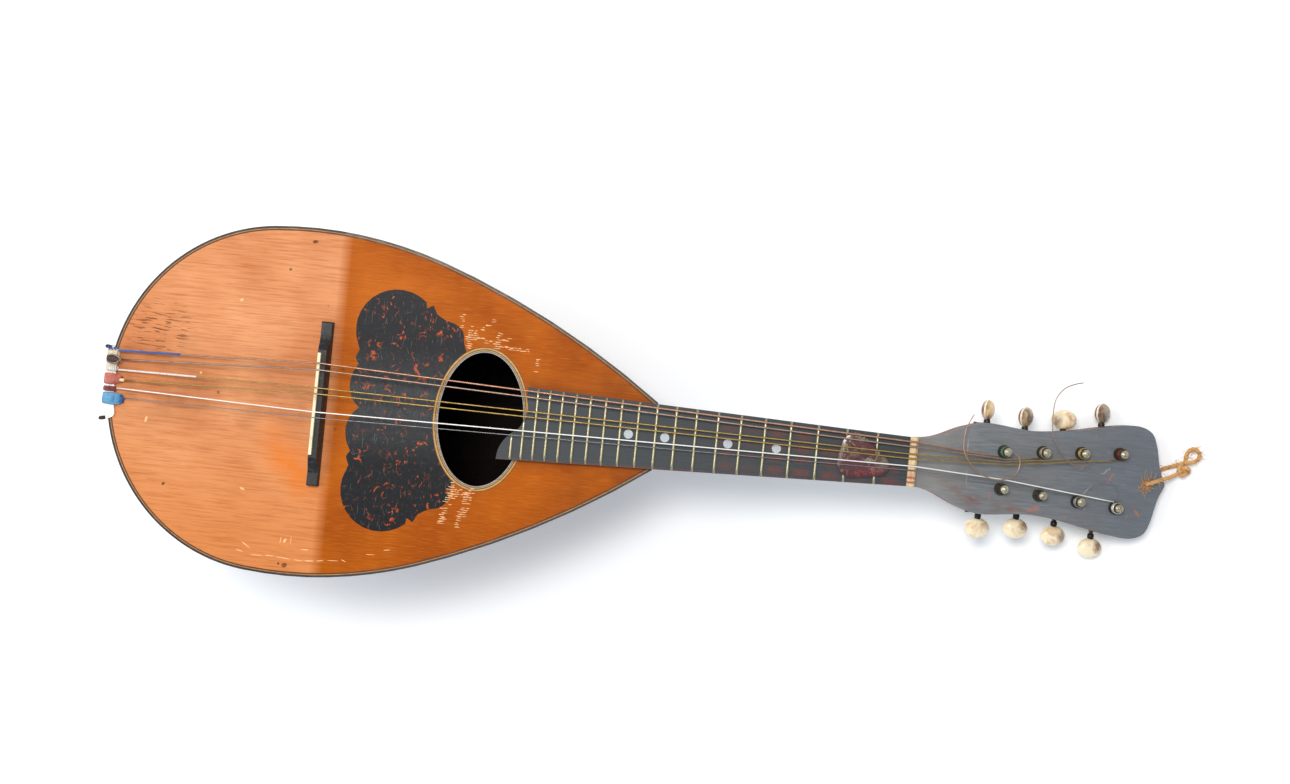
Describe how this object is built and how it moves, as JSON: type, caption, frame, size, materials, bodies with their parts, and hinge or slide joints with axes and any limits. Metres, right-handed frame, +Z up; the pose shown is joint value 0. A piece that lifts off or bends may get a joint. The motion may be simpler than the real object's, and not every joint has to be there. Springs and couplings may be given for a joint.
{
  "type": "bowl-back mandolin",
  "caption": "Old bowl-back mandolin with worm-geared tuners that turn, loose strings wound on their posts, a cloth-padded tail plate and a twine loop at the head.",
  "frame": {"origin": "middle of the resting surface under the instrument, without its twine", "axes": "+X from the tail to the head, +Y to the bass side, +Z up, out of the soundboard and about 12 degrees from its normal"},
  "size_m": [0.6313, 0.2, 0.1491],
  "materials": {
    "spruce": "aged spruce, thin worn varnish",
    "black_wood": "ebony, satin",
    "light_inlay": "stained inlay wood, satin",
    "dark_shell": "dark shell, worn",
    "stave_wood": "rosewood, varnished",
    "inner_wood": "bare spruce",
    "neck_wood": "dark stained, worn",
    "head_wood": "blue-grey stained, satin",
    "fingerboard_wood": "dark, worn",
    "fret_brass": "pale, tarnished",
    "pearl": "pearl",
    "bone": "yellowed bone",
    "tail_metal": "bright and black with age",
    "cloth": "thread and cloth scraps",
    "string_wire": "wound wire",
    "jute": "jute twine",
    "plectrum_shell": "translucent dark red",
    "dull_steel": "dull, tarnished",
    "post_metal": "mottled, tarnished",
    "gear_brass": "tarnished"
  },
  "bodies": {
    "instrument": {"soundboard": "spruce", "edge_binding": "black_wood", "purfling": "light_inlay", "rosette": "light_inlay", "pickguard": "dark_shell", "bowl_ribs": "stave_wood", "end_clasp": "stave_wood", "end_blocks": "inner_wood", "linings": "inner_wood", "braces": "inner_wood", "neck": "neck_wood", "headstock": "head_wood", "fingerboard": "fingerboard_wood", "frets": "fret_brass", "position_dots": "pearl", "nut": "bone", "bridge": "black_wood", "saddle": "bone", "tailpiece": "tail_metal", "hook_wraps": "cloth", "strings": "string_wire", "twine": "jute", "plectrum": "plectrum_shell", "screws": "dull_steel", "post_ferrules": "dull_steel", "tuner_plate_bass": "dull_steel", "tuner_plate_treble": "dull_steel"},
    "shaft_bass_1": {"worm_bass_1": "dull_steel", "button_bass_1": "bone"},
    "winder_bass_1": {"post_bass_1": "post_metal", "gear_bass_1": "gear_brass"},
    "shaft_bass_2": {"worm_bass_2": "dull_steel", "button_bass_2": "bone"},
    "winder_bass_2": {"post_bass_2": "post_metal", "gear_bass_2": "gear_brass"},
    "shaft_bass_3": {"worm_bass_3": "dull_steel", "button_bass_3": "bone"},
    "winder_bass_3": {"post_bass_3": "post_metal", "gear_bass_3": "gear_brass"},
    "shaft_bass_4": {"worm_bass_4": "dull_steel", "button_bass_4": "bone"},
    "winder_bass_4": {"post_bass_4": "post_metal", "gear_bass_4": "gear_brass"},
    "shaft_treble_1": {"worm_treble_1": "dull_steel", "button_treble_1": "bone"},
    "winder_treble_1": {"post_treble_1": "post_metal", "gear_treble_1": "gear_brass"},
    "shaft_treble_2": {"worm_treble_2": "dull_steel", "button_treble_2": "bone"},
    "winder_treble_2": {"post_treble_2": "post_metal", "gear_treble_2": "gear_brass"},
    "shaft_treble_3": {"worm_treble_3": "dull_steel", "button_treble_3": "bone"},
    "winder_treble_3": {"post_treble_3": "post_metal", "gear_treble_3": "gear_brass"},
    "shaft_treble_4": {"worm_treble_4": "dull_steel", "button_treble_4": "bone"},
    "winder_treble_4": {"post_treble_4": "post_metal", "gear_treble_4": "gear_brass"}
  },
  "joints": [
    {"name": "button_turn_bass_1", "type": "hinge", "parent": "instrument", "child": "shaft_bass_1", "pos_m": [0.20123, 0.0107, 0.03372], "axis": [0, 1, 0], "continuous": true},
    {"name": "post_turn_bass_1", "type": "hinge", "parent": "instrument", "child": "winder_bass_1", "pos_m": [0.21297, 0.0107, 0.04643], "axis": [0.3705, 0, 0.9288], "continuous": true},
    {"name": "button_turn_bass_2", "type": "hinge", "parent": "instrument", "child": "shaft_bass_2", "pos_m": [0.22306, 0.01235, 0.02502], "axis": [0, 1, 0], "continuous": true},
    {"name": "post_turn_bass_2", "type": "hinge", "parent": "instrument", "child": "winder_bass_2", "pos_m": [0.23479, 0.01235, 0.03773], "axis": [0.3705, 0, 0.9288], "continuous": true},
    {"name": "button_turn_bass_3", "type": "hinge", "parent": "instrument", "child": "shaft_bass_3", "pos_m": [0.24489, 0.014, 0.01631], "axis": [0, 1, 0], "continuous": true},
    {"name": "post_turn_bass_3", "type": "hinge", "parent": "instrument", "child": "winder_bass_3", "pos_m": [0.25662, 0.014, 0.02902], "axis": [0.3705, 0, 0.9288], "continuous": true},
    {"name": "button_turn_bass_4", "type": "hinge", "parent": "instrument", "child": "shaft_bass_4", "pos_m": [0.26672, 0.01565, 0.0076], "axis": [0, 1, 0], "continuous": true},
    {"name": "post_turn_bass_4", "type": "hinge", "parent": "instrument", "child": "winder_bass_4", "pos_m": [0.27845, 0.01565, 0.02031], "axis": [0.3705, 0, 0.9288], "continuous": true},
    {"name": "button_turn_treble_1", "type": "hinge", "parent": "instrument", "child": "shaft_treble_1", "pos_m": [0.20123, -0.0107, 0.03372], "axis": [0, -1, 0], "continuous": true},
    {"name": "post_turn_treble_1", "type": "hinge", "parent": "instrument", "child": "winder_treble_1", "pos_m": [0.21297, -0.0107, 0.04643], "axis": [0.3705, 0, 0.9288], "continuous": true},
    {"name": "button_turn_treble_2", "type": "hinge", "parent": "instrument", "child": "shaft_treble_2", "pos_m": [0.22306, -0.01235, 0.02502], "axis": [0, -1, 0], "continuous": true},
    {"name": "post_turn_treble_2", "type": "hinge", "parent": "instrument", "child": "winder_treble_2", "pos_m": [0.23479, -0.01235, 0.03773], "axis": [0.3705, 0, 0.9288], "continuous": true},
    {"name": "button_turn_treble_3", "type": "hinge", "parent": "instrument", "child": "shaft_treble_3", "pos_m": [0.24489, -0.014, 0.01631], "axis": [0, -1, 0], "continuous": true},
    {"name": "post_turn_treble_3", "type": "hinge", "parent": "instrument", "child": "winder_treble_3", "pos_m": [0.25662, -0.014, 0.02902], "axis": [0.3705, 0, 0.9288], "continuous": true},
    {"name": "button_turn_treble_4", "type": "hinge", "parent": "instrument", "child": "shaft_treble_4", "pos_m": [0.26672, -0.01565, 0.0076], "axis": [0, -1, 0], "continuous": true},
    {"name": "post_turn_treble_4", "type": "hinge", "parent": "instrument", "child": "winder_treble_4", "pos_m": [0.27845, -0.01565, 0.02031], "axis": [0.3705, 0, 0.9288], "continuous": true}
  ],
  "couplings": [
    {"joint": "post_turn_bass_1", "follows": "button_turn_bass_1", "ratio": 0.076923},
    {"joint": "post_turn_bass_2", "follows": "button_turn_bass_2", "ratio": 0.076923},
    {"joint": "post_turn_bass_3", "follows": "button_turn_bass_3", "ratio": 0.076923},
    {"joint": "post_turn_bass_4", "follows": "button_turn_bass_4", "ratio": 0.076923},
    {"joint": "post_turn_treble_1", "follows": "button_turn_treble_1", "ratio": 0.076923},
    {"joint": "post_turn_treble_2", "follows": "button_turn_treble_2", "ratio": 0.076923},
    {"joint": "post_turn_treble_3", "follows": "button_turn_treble_3", "ratio": 0.076923},
    {"joint": "post_turn_treble_4", "follows": "button_turn_treble_4", "ratio": 0.076923}
  ]
}
